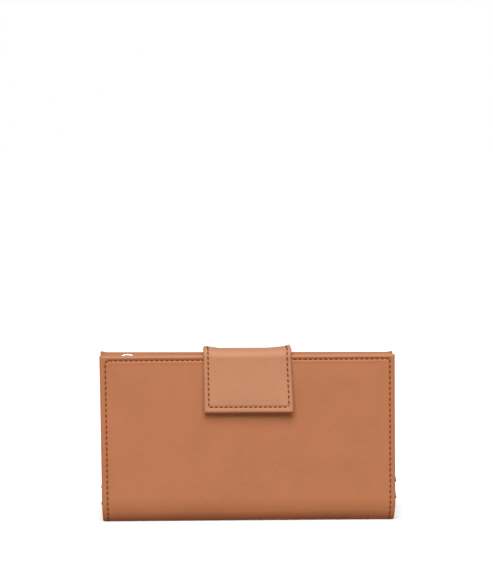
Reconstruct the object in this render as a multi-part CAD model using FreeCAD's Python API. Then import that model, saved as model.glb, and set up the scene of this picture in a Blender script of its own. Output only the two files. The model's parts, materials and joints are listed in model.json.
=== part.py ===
import FreeCAD, Part
import math
import os

os.makedirs("parts", exist_ok=True)

# A long bifold wallet that stands on its folded lower edge, closed by a strap tab.
# Millimetres. X runs along the wallet, Y from the front leaf to the back leaf, Z up.
# Every "depth" below is measured backwards from the outer face of the front leaf.
# The origin is the centre of the bottom of the wallet's bounding box.

# Driving dimensions
WIDTH = 184.0
HEIGHT = 105.0
THICKNESS = 24.0
FOLD_RADIUS = 6.5
PANEL_CORNER = 2.0

LEATHER = 1.2
BOARD = 0.5
LINING = 0.3
SHEET = 0.4
WALL = 0.8
GUSSET = 0.6

TAB_WIDTH = 55.0
TAB_LAYER = 1.2
TAB_FOLD_RADIUS = 3.5
TAB_RELIEF = 0.3
FLAP_BOTTOM = 69.5
FLAP_CORNER = 3.0
ANCHOR_BOTTOM = 68.0

BOARD_MARGIN = 4.0
LINING_MARGIN = 2.0
BOARD_BOTTOM = 14.0
LINING_BOTTOM = 8.0

FRONT_SLOT_COUNT = 4
FRONT_SLOT_LOWEST = 11.5
BACK_SLOT_COUNT = 3
BACK_SLOT_HIGHEST = 94.0
SLOT_STEP = 10.5
SLOT_DEPTH = 55.0
SLOT_HALF_WIDTH = 89.0

POCKET_FRONT_DEPTH = 7.6
POCKET_GAP = 8.0
POCKET_HALF_WIDTH = 86.0
POCKET_TOP = 101.5
POCKET_BOTTOM = 10.0
BACK_WALL_HALF_WIDTH = 90.0

CHAIN_HEIGHT = 99.4
TAPE = 0.4
TOOTH_PITCH = 2.5
TOOTH_THICK = 1.0
TOOTH_LENGTH = 2.4
TOOTH_HEIGHT = 1.4
CHAIN_WIDTH = 3.0
CHAIN_START = -76.5
CHAIN_END = 79.5
STOP_LENGTH = 2.2

SLIDER_X = -75.0
SLIDER_LENGTH = 9.0
SLIDER_WIDTH = 6.0
WING = 0.9
WING_FACE = 0.95
FLANGE_FACE = 0.45
FLANGE_WIDTH = 1.2
DIAMOND_LENGTH = 2.4
DIAMOND_WIDTH = 1.6
CROWN_LENGTH = 8.0
CROWN_WIDTH = 1.6
CROWN_BAR = 1.4
CROWN_ROUND = 2.0

PULLER_LENGTH = 24.0
PULLER_WIDTH = 5.0
PULLER_THICK = 1.2
PULLER_PIN_RADIUS = 0.6
PULLER_PIN_LIFT = 0.75
PULLER_EYE_REACH = 5.2
PULLER_EYE_WIDTH = 2.4
PULLER_HOLE_RADIUS = 1.1

SNAP_HEIGHT = 82.5
SNAP_RADIUS = 7.0
SNAP_CLEARANCE = 0.1
STUD_RADIUS = 2.0
STUD_LENGTH = 1.0
SOCKET_RADIUS = 2.5
SOCKET_DEPTH = 1.3

# Half the opening, in degrees, between the two sides of a fold where the leaves part
FOLD_SPLIT = 0.5

# Dimensions that follow from the ones above
TAB_THICK = 2 * TAB_LAYER
TAB_STAND = TAB_RELIEF + TAB_THICK
FRONT_Y = (TAB_STAND - TAB_THICK - THICKNESS) / 2
TAB_TOP = HEIGHT + TAB_FOLD_RADIUS
POCKET_INNER_FRONT = POCKET_FRONT_DEPTH + WALL
POCKET_INNER_BACK = POCKET_INNER_FRONT + POCKET_GAP
CHAIN_DEPTH = POCKET_INNER_FRONT + POCKET_GAP / 2
BACK_FACE = THICKNESS - LEATHER - BOARD - LINING
SLIDER_TOP = CHAIN_HEIGHT + WING_FACE + WING
PIN_HEIGHT = SLIDER_TOP + PULLER_PIN_LIFT


def box(x0, x1, depth0, depth1, z0, z1):
    corner = FreeCAD.Vector(x0, FRONT_Y + depth0, z0)
    return Part.makeBox(x1 - x0, depth1 - depth0, z1 - z0, corner)


def disc(x, z, radius, depth0, depth1):
    start = FreeCAD.Vector(x, FRONT_Y + depth0, z)
    return Part.makeCylinder(radius, depth1 - depth0, start, FreeCAD.Vector(0, 1, 0))


def fold(centre_depth, centre_z, inner, outer, start_deg, end_deg, half_width):
    """A stretch of curved sheet: a ring sector about an axis along X.

    Angles run from +Y (backwards) towards +Z (up)."""
    def point(radius, degrees):
        angle = math.radians(degrees)
        y = FRONT_Y + centre_depth + radius * math.cos(angle)
        return FreeCAD.Vector(-half_width, y, centre_z + radius * math.sin(angle))

    middle = (start_deg + end_deg) / 2
    outside = Part.Arc(point(outer, start_deg), point(outer, middle), point(outer, end_deg))
    inside = Part.Arc(point(inner, end_deg), point(inner, middle), point(inner, start_deg))
    edges = [
        outside.toShape(),
        Part.makeLine(point(outer, end_deg), point(inner, end_deg)),
        inside.toShape(),
        Part.makeLine(point(inner, start_deg), point(outer, start_deg)),
    ]
    return Part.Face(Part.Wire(edges)).extrude(FreeCAD.Vector(2 * half_width, 0, 0))


def round_corners(shape, radius, at_top):
    """Round the two corners, seen from the front, at the top or the bottom of a sheet."""
    limits = shape.BoundBox
    level = limits.ZMax if at_top else limits.ZMin
    edges = []
    for edge in shape.Edges:
        size = edge.BoundBox
        across = size.XLength < 1e-6 and size.ZLength < 1e-6
        outermost = abs(abs(size.XMin) - limits.XMax) < 1e-6
        if across and outermost and abs(size.ZMin - level) < 1e-6:
            edges.append(edge)
    return shape.makeFillet(radius, edges)


# Outer cover: one sheet of leather on the real wallet, parted here where it folds

def front_cover_leather():
    half = WIDTH / 2
    panel = box(-half, half, 0, LEATHER, FOLD_RADIUS, HEIGHT)
    panel = round_corners(panel, PANEL_CORNER, True)
    bend = fold(FOLD_RADIUS, FOLD_RADIUS, FOLD_RADIUS - LEATHER, FOLD_RADIUS,
                180, 225 - FOLD_SPLIT, half)
    hole = disc(0, SNAP_HEIGHT, SNAP_RADIUS + SNAP_CLEARANCE, 0, LEATHER)
    return panel.fuse(bend).removeSplitter().cut(hole)


def spine_sheet(cover, thick, half):
    """The bottom strip with the inner half of both folds, under `cover` mm of sheet."""
    outer = FOLD_RADIUS - cover
    strip = box(-half, half, FOLD_RADIUS, THICKNESS - FOLD_RADIUS, cover, cover + thick)
    front = fold(FOLD_RADIUS, FOLD_RADIUS, outer - thick, outer, 225 + FOLD_SPLIT, 270, half)
    back = fold(THICKNESS - FOLD_RADIUS, FOLD_RADIUS, outer - thick, outer,
                270, 315 - FOLD_SPLIT, half)
    return strip.fuse([front, back]).removeSplitter()


def spine_leather():
    return spine_sheet(0, LEATHER, WIDTH / 2)


def spine_lining():
    return spine_sheet(LEATHER, LINING, WIDTH / 2 - LINING_MARGIN)


def back_cover_leather():
    half = WIDTH / 2
    panel = box(-half, half, THICKNESS - LEATHER, THICKNESS, FOLD_RADIUS, HEIGHT)
    panel = round_corners(panel, PANEL_CORNER, True)
    bend = fold(THICKNESS - FOLD_RADIUS, FOLD_RADIUS, FOLD_RADIUS - LEATHER, FOLD_RADIUS,
                315 + FOLD_SPLIT, 360, half)
    return panel.fuse(bend).removeSplitter()


# Front leaf: stiffening board, lining and stepped card slots whose mouths face the fold

def front_board():
    half = WIDTH / 2 - BOARD_MARGIN
    board = box(-half, half, LEATHER, LEATHER + BOARD, BOARD_BOTTOM, HEIGHT - BOARD_MARGIN)
    hole = disc(0, SNAP_HEIGHT, SNAP_RADIUS + SNAP_CLEARANCE, LEATHER, LEATHER + BOARD)
    return board.cut(hole)


def front_lining():
    half = WIDTH / 2 - LINING_MARGIN
    start = LEATHER + BOARD
    return box(-half, half, start, start + LINING, LINING_BOTTOM, HEIGHT - LINING_MARGIN)


def front_card_slot(number):
    """Slot 1 lies against the lining and has its mouth nearest to the fold."""
    start = LEATHER + BOARD + LINING + (number - 1) * SHEET
    mouth = FRONT_SLOT_LOWEST + (number - 1) * SLOT_STEP
    return box(-SLOT_HALF_WIDTH, SLOT_HALF_WIDTH, start, start + SHEET, mouth, mouth + SLOT_DEPTH)


# Back leaf: board, lining, bill compartment and zipped coin pocket

def back_board():
    half = WIDTH / 2 - BOARD_MARGIN
    end = THICKNESS - LEATHER
    return box(-half, half, end - BOARD, end, BOARD_BOTTOM, HEIGHT - BOARD_MARGIN)


def back_lining():
    half = WIDTH / 2 - LINING_MARGIN
    return box(-half, half, BACK_FACE, BACK_FACE + LINING, LINING_BOTTOM, HEIGHT - LINING_MARGIN)


def coin_pocket_front():
    half = BACK_WALL_HALF_WIDTH
    wall = box(-half, half, POCKET_FRONT_DEPTH, POCKET_INNER_FRONT, POCKET_BOTTOM, POCKET_TOP)
    return round_corners(wall, PANEL_CORNER, True)


def coin_pocket_back():
    half = BACK_WALL_HALF_WIDTH
    end = POCKET_INNER_BACK + WALL
    wall = box(-half, half, POCKET_INNER_BACK, end, POCKET_BOTTOM, POCKET_TOP)
    return round_corners(wall, PANEL_CORNER, True)


def coin_gusset_side(side):
    """The folded end of the coin pocket; side is -1 on the left and 1 on the right."""
    inner = side * POCKET_HALF_WIDTH
    outer = side * (POCKET_HALF_WIDTH + GUSSET)
    top = CHAIN_HEIGHT - TAPE / 2
    return box(min(inner, outer), max(inner, outer), POCKET_INNER_FRONT, POCKET_INNER_BACK,
               POCKET_BOTTOM + GUSSET, top)


def coin_gusset_bottom():
    half = POCKET_HALF_WIDTH + GUSSET
    return box(-half, half, POCKET_INNER_FRONT, POCKET_INNER_BACK,
               POCKET_BOTTOM, POCKET_BOTTOM + GUSSET)


def bill_gusset_side(side):
    inner = side * (BACK_WALL_HALF_WIDTH - GUSSET)
    outer = side * BACK_WALL_HALF_WIDTH
    return box(min(inner, outer), max(inner, outer), POCKET_INNER_BACK + WALL, BACK_FACE,
               POCKET_BOTTOM + GUSSET, POCKET_TOP - PANEL_CORNER)


def bill_gusset_bottom():
    half = BACK_WALL_HALF_WIDTH
    return box(-half, half, POCKET_INNER_BACK + WALL, BACK_FACE,
               POCKET_BOTTOM, POCKET_BOTTOM + GUSSET)


def back_card_slot(number):
    """Slot 1 lies against the coin pocket and has the highest mouth."""
    end = POCKET_FRONT_DEPTH - (number - 1) * SHEET
    mouth = BACK_SLOT_HIGHEST - (number - 1) * SLOT_STEP
    return box(-SLOT_HALF_WIDTH, SLOT_HALF_WIDTH, end - SHEET, end, mouth - SLOT_DEPTH, mouth)


# Zip along the top of the coin pocket

def zip_tape_front():
    half = POCKET_HALF_WIDTH + GUSSET
    inner = CHAIN_DEPTH - CHAIN_WIDTH / 2
    return box(-half, half, POCKET_INNER_FRONT, inner,
               CHAIN_HEIGHT - TAPE / 2, CHAIN_HEIGHT + TAPE / 2)


def zip_tape_back():
    half = POCKET_HALF_WIDTH + GUSSET
    inner = CHAIN_DEPTH + CHAIN_WIDTH / 2
    return box(-half, half, inner, POCKET_INNER_BACK,
               CHAIN_HEIGHT - TAPE / 2, CHAIN_HEIGHT + TAPE / 2)


def tooth_row(first_x, depth0, depth1):
    bottom = CHAIN_HEIGHT - TOOTH_HEIGHT / 2
    count = int((CHAIN_END - first_x - TOOTH_THICK) / TOOTH_PITCH) + 1
    teeth = []
    for index in range(count):
        x = first_x + index * TOOTH_PITCH
        teeth.append(box(x, x + TOOTH_THICK, depth0, depth1, bottom, bottom + TOOTH_HEIGHT))
    return Part.makeCompound(teeth)


def zip_teeth_front():
    edge = CHAIN_DEPTH - CHAIN_WIDTH / 2
    return tooth_row(CHAIN_START, edge, edge + TOOTH_LENGTH)


def zip_teeth_back():
    edge = CHAIN_DEPTH + CHAIN_WIDTH / 2
    return tooth_row(CHAIN_START + TOOTH_PITCH / 2, edge - TOOTH_LENGTH, edge)


def zip_stops():
    """Two top stops beside the closed end and one box stop across the open end."""
    bottom = CHAIN_HEIGHT - TOOTH_HEIGHT / 2
    top = bottom + TOOTH_HEIGHT
    left = SLIDER_X - SLIDER_LENGTH / 2 - STOP_LENGTH - SNAP_CLEARANCE
    near = CHAIN_DEPTH - CHAIN_WIDTH / 2
    far = CHAIN_DEPTH + CHAIN_WIDTH / 2
    right = -SLIDER_X + SLIDER_LENGTH / 2 + SNAP_CLEARANCE
    stops = [
        box(left, left + STOP_LENGTH, near, CHAIN_DEPTH - DIAMOND_WIDTH / 4, bottom, top),
        box(left, left + STOP_LENGTH, CHAIN_DEPTH + DIAMOND_WIDTH / 4, far, bottom, top),
        box(right, right + STOP_LENGTH, near, far, bottom, top),
    ]
    return Part.makeCompound(stops)


def zip_slider_body():
    """Two wings joined by the diamond that parts the teeth, with flanges beside the chain."""
    x0 = SLIDER_X - SLIDER_LENGTH / 2
    x1 = SLIDER_X + SLIDER_LENGTH / 2
    near = CHAIN_DEPTH - SLIDER_WIDTH / 2
    far = CHAIN_DEPTH + SLIDER_WIDTH / 2
    pieces = []
    for side in (-1, 1):
        wing = sorted((CHAIN_HEIGHT + side * WING_FACE, CHAIN_HEIGHT + side * (WING_FACE + WING)))
        rim = sorted((CHAIN_HEIGHT + side * FLANGE_FACE, CHAIN_HEIGHT + side * WING_FACE))
        pieces.append(box(x0, x1, near, far, wing[0], wing[1]))
        pieces.append(box(x0, x1, near, near + FLANGE_WIDTH, rim[0], rim[1]))
        pieces.append(box(x0, x1, far - FLANGE_WIDTH, far, rim[0], rim[1]))
    body = pieces[0].fuse(pieces[1:])
    diamond = box(x0, x0 + DIAMOND_LENGTH, CHAIN_DEPTH - DIAMOND_WIDTH / 2,
                  CHAIN_DEPTH + DIAMOND_WIDTH / 2,
                  CHAIN_HEIGHT - WING_FACE, CHAIN_HEIGHT + WING_FACE)
    return body.fuse(diamond).removeSplitter()


def zip_slider_crown():
    """The arch over the slider that the puller hangs on."""
    near = CHAIN_DEPTH - CROWN_WIDTH / 2
    far = CHAIN_DEPTH + CROWN_WIDTH / 2
    half = CROWN_LENGTH / 2
    outside = box(SLIDER_X - half, SLIDER_X + half, near, far, SLIDER_TOP, HEIGHT)
    edges = []
    for edge in outside.Edges:
        if edge.BoundBox.YLength > CROWN_WIDTH / 2 and edge.BoundBox.ZMin > SLIDER_TOP + 1:
            edges.append(edge)
    outside = outside.makeFillet(CROWN_ROUND, edges)
    inside = box(SLIDER_X - half + CROWN_BAR, SLIDER_X + half - CROWN_BAR, near, far,
                 SLIDER_TOP, HEIGHT - CROWN_BAR)
    return outside.cut(inside)


def zip_puller():
    """A flat pull whose pin turns under the crown; it lies along the chain."""
    half = PULLER_WIDTH / 2
    bottom = PIN_HEIGHT - PULLER_THICK / 2
    plate = box(SLIDER_X, SLIDER_X + PULLER_LENGTH - half, CHAIN_DEPTH - half,
                CHAIN_DEPTH + half, bottom, bottom + PULLER_THICK)
    end = FreeCAD.Vector(SLIDER_X + PULLER_LENGTH - half, FRONT_Y + CHAIN_DEPTH, bottom)
    plate = plate.fuse(Part.makeCylinder(half, PULLER_THICK, end))
    pin_start = FreeCAD.Vector(SLIDER_X, FRONT_Y + CHAIN_DEPTH - half, PIN_HEIGHT)
    pin = Part.makeCylinder(PULLER_PIN_RADIUS, PULLER_WIDTH, pin_start, FreeCAD.Vector(0, 1, 0))
    eye = box(SLIDER_X, SLIDER_X + PULLER_EYE_REACH, CHAIN_DEPTH - PULLER_EYE_WIDTH / 2,
              CHAIN_DEPTH + PULLER_EYE_WIDTH / 2, bottom, bottom + PULLER_THICK)
    hole = Part.makeCylinder(PULLER_HOLE_RADIUS, PULLER_THICK, end)
    return plate.cut([eye, hole]).fuse(pin).removeSplitter()


# Closing tab: sewn to the back leaf, over the top edge and down the front leaf.
# Each layer is a sheet that starts `cover` mm under the tab's outer face.

def tab_anchor(cover):
    half = TAB_WIDTH / 2
    outer = TAB_FOLD_RADIUS - cover
    face = THICKNESS + TAB_THICK - cover
    sheet = box(-half, half, face - TAB_LAYER, face, ANCHOR_BOTTOM, HEIGHT)
    sheet = round_corners(sheet, FLAP_CORNER, False)
    bend = fold(THICKNESS + TAB_THICK - TAB_FOLD_RADIUS, HEIGHT, outer - TAB_LAYER, outer,
                0, 45 - FOLD_SPLIT, half)
    return sheet.fuse(bend).removeSplitter()


def tab_bridge(cover):
    half = TAB_WIDTH / 2
    outer = TAB_FOLD_RADIUS - cover
    front = TAB_FOLD_RADIUS - TAB_STAND
    back = THICKNESS + TAB_THICK - TAB_FOLD_RADIUS
    top = TAB_TOP - cover
    strip = box(-half, half, front, back, top - TAB_LAYER, top)
    back_bend = fold(back, HEIGHT, outer - TAB_LAYER, outer, 45 + FOLD_SPLIT, 90, half)
    front_bend = fold(front, HEIGHT, outer - TAB_LAYER, outer, 90, 135 - FOLD_SPLIT, half)
    return strip.fuse([back_bend, front_bend]).removeSplitter()


def tab_flap(cover):
    half = TAB_WIDTH / 2
    outer = TAB_FOLD_RADIUS - cover
    face = cover - TAB_STAND
    sheet = box(-half, half, face, face + TAB_LAYER, FLAP_BOTTOM, HEIGHT)
    sheet = round_corners(sheet, FLAP_CORNER, False)
    bend = fold(TAB_FOLD_RADIUS - TAB_STAND, HEIGHT, outer - TAB_LAYER, outer,
                135 + FOLD_SPLIT, 180, half)
    return sheet.fuse(bend).removeSplitter()


def tab_flap_lining():
    hole = disc(0, SNAP_HEIGHT, SNAP_RADIUS + SNAP_CLEARANCE, TAB_LAYER - TAB_STAND, 0)
    return tab_flap(TAB_LAYER).cut(hole)


# Magnetic snap: a disc with a stud in the tab, and a disc with a socket in the front leaf

def snap_stud():
    face = -TAB_RELIEF
    plate = disc(0, SNAP_HEIGHT, SNAP_RADIUS, face - TAB_LAYER, face)
    return plate.fuse(disc(0, SNAP_HEIGHT, STUD_RADIUS, face, face + STUD_LENGTH))


def snap_socket():
    plate = disc(0, SNAP_HEIGHT, SNAP_RADIUS, 0, LEATHER + BOARD)
    return plate.cut(disc(0, SNAP_HEIGHT, SOCKET_RADIUS, 0, SOCKET_DEPTH))


shapes = {
    "spine_leather": spine_leather(),
    "spine_lining": spine_lining(),
    "front_cover_leather": front_cover_leather(),
    "front_board": front_board(),
    "front_lining": front_lining(),
    "snap_socket": snap_socket(),
    "back_cover_leather": back_cover_leather(),
    "back_board": back_board(),
    "back_lining": back_lining(),
    "coin_pocket_front": coin_pocket_front(),
    "coin_pocket_back": coin_pocket_back(),
    "coin_gusset_left": coin_gusset_side(-1),
    "coin_gusset_right": coin_gusset_side(1),
    "coin_gusset_bottom": coin_gusset_bottom(),
    "bill_gusset_left": bill_gusset_side(-1),
    "bill_gusset_right": bill_gusset_side(1),
    "bill_gusset_bottom": bill_gusset_bottom(),
    "zip_tape_front": zip_tape_front(),
    "zip_tape_back": zip_tape_back(),
    "zip_teeth_front": zip_teeth_front(),
    "zip_teeth_back": zip_teeth_back(),
    "zip_stops": zip_stops(),
    "zip_slider_body": zip_slider_body(),
    "zip_slider_crown": zip_slider_crown(),
    "zip_puller": zip_puller(),
    "tab_anchor_leather": tab_anchor(0),
    "tab_anchor_lining": tab_anchor(TAB_LAYER),
    "tab_bridge_leather": tab_bridge(0),
    "tab_bridge_lining": tab_bridge(TAB_LAYER),
    "tab_flap_leather": tab_flap(0),
    "tab_flap_lining": tab_flap_lining(),
    "snap_stud": snap_stud(),
}
for slot in range(1, FRONT_SLOT_COUNT + 1):
    shapes[f"front_card_slot_{slot}"] = front_card_slot(slot)
for slot in range(1, BACK_SLOT_COUNT + 1):
    shapes[f"back_card_slot_{slot}"] = back_card_slot(slot)

for node, shape in shapes.items():
    shape.exportStep(f"parts/{node}.step")
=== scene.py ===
import json
import math

import bmesh
import bpy
import numpy as np
from mathutils import Matrix, Vector

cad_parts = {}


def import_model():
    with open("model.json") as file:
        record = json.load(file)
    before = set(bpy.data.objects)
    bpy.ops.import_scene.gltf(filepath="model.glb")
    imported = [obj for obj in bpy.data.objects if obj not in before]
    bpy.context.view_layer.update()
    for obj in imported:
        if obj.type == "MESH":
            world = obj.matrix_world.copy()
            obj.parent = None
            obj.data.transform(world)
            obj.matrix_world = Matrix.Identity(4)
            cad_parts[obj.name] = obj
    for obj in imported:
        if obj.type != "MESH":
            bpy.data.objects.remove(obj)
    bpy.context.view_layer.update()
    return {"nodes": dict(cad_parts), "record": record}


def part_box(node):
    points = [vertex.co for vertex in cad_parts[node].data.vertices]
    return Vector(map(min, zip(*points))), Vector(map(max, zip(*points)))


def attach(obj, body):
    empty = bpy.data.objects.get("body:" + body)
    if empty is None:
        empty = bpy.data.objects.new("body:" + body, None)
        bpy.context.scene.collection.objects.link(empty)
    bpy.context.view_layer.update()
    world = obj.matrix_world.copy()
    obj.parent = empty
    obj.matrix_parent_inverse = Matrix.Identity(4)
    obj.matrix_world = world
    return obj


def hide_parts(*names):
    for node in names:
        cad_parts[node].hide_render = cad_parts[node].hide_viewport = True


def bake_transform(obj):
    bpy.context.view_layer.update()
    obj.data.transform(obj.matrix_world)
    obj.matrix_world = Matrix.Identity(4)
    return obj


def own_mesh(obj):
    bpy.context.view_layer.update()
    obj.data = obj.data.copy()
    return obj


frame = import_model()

MM = 0.001


# ---------------------------------------------------------------- places, in millimetres

def cad_box(node):
    low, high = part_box(node)
    return np.array(low) / MM, np.array(high) / MM


cover_low, cover_high = cad_box("front_cover_leather")
_, back_high = cad_box("back_cover_leather")
FRONT = cover_low[1]
BACK = back_high[1]
HALF = cover_high[0]
TOP = cover_high[2]
MIDDLE = (FRONT + BACK) / 2

flap_low, flap_high = cad_box("tab_flap_leather")
_, bridge_high = cad_box("tab_bridge_leather")
anchor_low, anchor_high = cad_box("tab_anchor_leather")
TAB_HALF = flap_high[0]
TAB_TOP = bridge_high[2]
TAB_LONGER = 0.8
FLAP_END = flap_low[2] - TAB_LONGER
ANCHOR_END = anchor_low[2]

# Stitch lengths on the tab and on the cover, and how much closer a row across is sewn.
PITCH = 3.28
COVER_PITCH = 3.42
CROSSWAYS = 0.94

SEAM_INSET = 3.2
LEFT_SEAM_EXTRA = 0.4
COVER_THICK = 1.7

# The rounded fold along the bottom: its reach along Y, its height and its squareness.
FOLD_DEEP = 7.0
FOLD_TALL = 16.0
FOLD_POWER = 2.1

RIM_STEPS = 6
GRID = PITCH / 4


# ---------------------------------------------------------------- paths and surfaces

class Path:
    """A line in the YZ plane, in mm, that a sheet follows, measured by its own length.
    side is 1 where the sheet's face is on the left of its travel, or -1 on the right."""

    def __init__(self, points, side):
        points = np.array(points, float)
        steps = np.linalg.norm(np.diff(points, axis=0), axis=1)
        shortest = 1e-6
        keep = np.concatenate([[True], steps > shortest])
        points = points[keep]
        steps = np.linalg.norm(np.diff(points, axis=0), axis=1)
        self.s = np.concatenate([[0], np.cumsum(steps)])
        self.length = self.s[-1]
        self.points = points
        self.side = side
        tangent = np.gradient(points, self.s, axis=0)
        self.tangent = tangent / np.linalg.norm(tangent, axis=1)[:, None]

    def at(self, s):
        s = np.clip(s, 0, self.length)
        y = np.interp(s, self.s, self.points[:, 0])
        z = np.interp(s, self.s, self.points[:, 1])
        ty = np.interp(s, self.s, self.tangent[:, 0])
        tz = np.interp(s, self.s, self.tangent[:, 1])
        size = np.sqrt(ty * ty + tz * tz)
        return y, z, -self.side * tz / size, self.side * ty / size

    def s_at(self, z):
        """How far along an upward path the height z is."""
        return float(np.interp(z, self.points[:, 1], self.s))


def line(a, b, step=0.5):
    a, b = np.array(a, float), np.array(b, float)
    count = max(2, int(np.linalg.norm(b - a) / step) + 1)
    return [tuple(a + (b - a) * t) for t in np.linspace(0, 1, count)]


def corner(start, end, power, count=40):
    """A superellipse from start, leaving along Y, to end, arriving along Z."""
    t = np.linspace(0, math.pi / 2, count)
    y = start[0] + (end[0] - start[0]) * np.sin(t) ** (2 / power)
    z = start[1] + (end[1] - start[1]) * (1 - np.cos(t) ** (2 / power))
    return list(zip(y, z))


def corner_to_y(start, end, power, count=40):
    """A superellipse from start, leaving along Z, to end, arriving along Y."""
    return corner(end, start, power, count)[::-1]


def spread(low, high, step, rim, fine, fine_width, round_low=True, round_high=True):
    """Grid lines from low to high: close together at a rounded rim and along its seam."""
    arc = [rim * (1 - math.cos(a)) for a in np.linspace(0, math.pi / 2, RIM_STEPS)]
    edge = arc + list(np.arange(rim + fine, fine_width, fine))
    left = [low + e for e in edge] if round_low else [low]
    right = [high - e for e in edge] if round_high else [high]
    a, b = left[-1], right[-1]
    count = max(2, int(round((b - a) / step)) + 1)
    inner = list(np.linspace(a, b, count))[1:-1]
    return np.array(sorted(left + inner + right))


def stitch_count(x0, s0, x1, s1, pitch):
    """How many stitches fit on one straight row; rows across the piece are sewn closer."""
    if abs(x1 - x0) > abs(s1 - s0):
        pitch = pitch * CROSSWAYS
    return max(1, int(round(math.hypot(x1 - x0, s1 - s0) / pitch)))


def along_route(x, s, route, pitch):
    """Distance of each point (x, s) from a polyline, and how many stitches along it that is."""
    nearest = np.full(np.shape(x), 1e9)
    travelled = np.zeros(np.shape(x))
    start = 0.0
    for (x0, s0), (x1, s1) in zip(route, route[1:]):
        length = math.hypot(x1 - x0, s1 - s0)
        t = np.clip(((x - x0) * (x1 - x0) + (s - s0) * (s1 - s0)) / length ** 2, 0, 1)
        gap = np.hypot(x - x0 - t * (x1 - x0), s - s0 - t * (s1 - s0))
        closer = gap < nearest
        nearest = np.where(closer, gap, nearest)
        count = stitch_count(x0, s0, x1, s1, pitch)
        travelled = np.where(closer, start + t * count, travelled)
        start += count
    return nearest, travelled


def seam_relief(x, s, routes, depth=0.50, width=0.50, pitch=PITCH):
    """The groove that a row of stitches pulls into leather, deepest along the middle of each
    stitch, with a low ridge on both sides."""
    mean_pull, pull_swing = 0.72, 0.28
    ridge, ridge_at, ridge_width = 0.10, 1.5, 0.8
    relief = np.zeros(np.shape(x))
    for route in routes:
        gap, travelled = along_route(x, s, route, pitch)
        pull = mean_pull - pull_swing * np.cos(2 * math.pi * travelled)
        relief -= depth * pull * np.exp(-(gap / width) ** 2)
        relief += ridge * np.exp(-((gap - ridge_at) / ridge_width) ** 2)
    return relief


def smooth(t):
    """Eases from 0 to 1."""
    return t * t * (3 - 2 * t)


def waves(x, s, size, seed):
    """Slow, shallow unevenness, the same each run."""
    ripples, shortest, longest = 7, 28, 90
    random = np.random.default_rng(seed)
    total = np.zeros(np.shape(x))
    for _ in range(ripples):
        length = random.uniform(shortest, longest)
        angle = random.uniform(0, math.pi)
        phase = random.uniform(0, 2 * math.pi)
        total += np.sin((x * math.cos(angle) + s * math.sin(angle)) * 2 * math.pi / length + phase)
    return size * total / ripples


def waves_of(size, seed):
    return lambda x, s: waves(x, s, size, seed)


def rounded_corner(edge_x, edge_s, radius):
    """Pulls grid points near a square corner onto a round one."""
    p = np.clip((radius - edge_x) / radius, 0, 1)
    q = np.clip((radius - edge_s) / radius, 0, 1)
    new_x = np.where((p > 0) & (q > 0), radius - radius * p * np.sqrt(1 - q * q / 2), edge_x)
    new_s = np.where((p > 0) & (q > 0), radius - radius * q * np.sqrt(1 - p * p / 2), edge_s)
    return new_x, new_s


def rim_tuck(edge, radius):
    """How far a surface has dropped, `edge` mm in from a rim rounded to that radius."""
    ratio = np.clip(1 - edge / radius, 0, 1)
    return radius * (1 - np.sqrt(np.clip(1 - ratio ** 2, 0, 1)))


class Sheet:
    """A leather or cloth sheet of even thickness along a path, with rounded free edges.

    x runs across it and s along the path. The face follows the path plus `relief`,
    and the reverse lies `thick` behind it."""

    def __init__(self, path, half, low, high, thick, relief=None, shift=None, side_shape=None,
                 round_low=False, round_high=True, corner_radius=0.8, under=0.0, face_rim=None):
        self.path, self.half, self.low, self.high = path, half, low, high
        self.thick, self.relief, self.shift = thick, relief, shift
        self.side_shape, self.under = side_shape, under
        self.round_low, self.round_high = round_low, round_high
        self.corner_radius = corner_radius
        self.face_rim = face_rim or thick / 2

    def place(self, x, s, depth=0.0):
        """The point at (x, s), `depth` mm behind the face, and the face's direction."""
        x = np.asarray(x, float)
        s = np.asarray(s, float)
        y, z, ny, nz = self.path.at(s)
        height = -depth - self.under
        if self.relief is not None:
            height = height + self.relief(x, s)
        out_x = x
        if self.side_shape is not None:
            out_x = out_x + self.side_shape(x, s)
        point = np.stack([out_x, y + ny * height, z + nz * height], -1)
        if self.shift is not None:
            point = point + self.shift(x, s)
        normal = np.stack([np.zeros_like(out_x), ny, nz], -1)
        return point, normal

    def build(self, name, step_x=1.6, step_s=1.6, fine=0.5, fine_width=5.2):
        rim = self.face_rim
        xs = spread(-self.half, self.half, step_x, rim, fine, fine_width)
        ss = spread(self.low, self.high, step_s, rim, fine, fine_width,
                    self.round_low, self.round_high)
        x, s = np.meshgrid(xs, ss, indexing="ij")
        big = 1e3
        edge_x = self.half - np.abs(x)
        edge_s = np.minimum(s - self.low if self.round_low else big,
                            self.high - s if self.round_high else big)
        edge = np.minimum(edge_x, edge_s)
        tuck = rim_tuck(edge, rim)
        back_tuck = rim_tuck(edge, self.thick - rim)
        if self.corner_radius > 0:
            new_x, new_s = rounded_corner(edge_x, edge_s, self.corner_radius)
            x = np.where(x > 0, x + edge_x - new_x, x - edge_x + new_x)
            up = (self.high - s) <= (s - self.low) if self.round_high else np.zeros_like(s, bool)
            if self.round_low and not self.round_high:
                up = np.zeros_like(s, bool)
            s = np.where(up, s + edge_s - new_s, s - edge_s + new_s)
        face, _ = self.place(x, s, tuck)
        back, _ = self.place(x, s, self.thick - back_tuck)
        return shell(name, face, back)


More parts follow.
